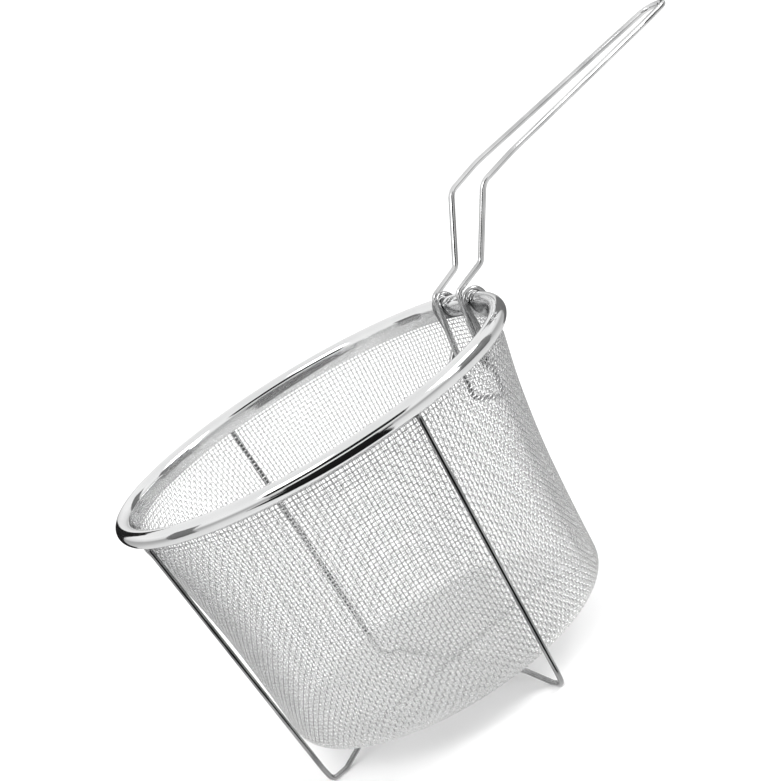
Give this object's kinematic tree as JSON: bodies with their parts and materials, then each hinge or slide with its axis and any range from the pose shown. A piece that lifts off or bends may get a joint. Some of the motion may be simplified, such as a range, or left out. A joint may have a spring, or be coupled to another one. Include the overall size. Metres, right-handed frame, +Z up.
{
  "type": "basket strainer",
  "caption": "Round woven-wire kitchen basket with a rolled rim, crossed support wires with feet, and a bent wire handle that folds into the basket.",
  "frame": {"origin": "on the basket's axis, at the underside of the crossing of the support wires", "axes": "+Z up along the basket's axis, +X towards the handle, and the object mirrors about the XZ plane"},
  "size_m": [0.3803, 0.2, 0.2067],
  "materials": {
    "polished_rim": "polished stainless strip",
    "bright_wire": "bright drawn stainless wire",
    "woven_mesh": "plain-woven fine stainless wire"
  },
  "bodies": {
    "basket": {"rim_strip": "polished_rim", "rim_core_wire": "bright_wire", "mesh_basket": "woven_mesh", "support_wire_along": "bright_wire", "support_wire_across": "bright_wire", "bracket_wire": "bright_wire"},
    "handle": {"handle_wire": "bright_wire"}
  },
  "joints": [
    {"name": "handle_fold", "type": "hinge", "parent": "basket", "child": "handle", "pos_m": [0.0848, 0, 0.1116], "axis": [0, 1, 0], "range_deg": [-141.7, 0]}
  ]
}
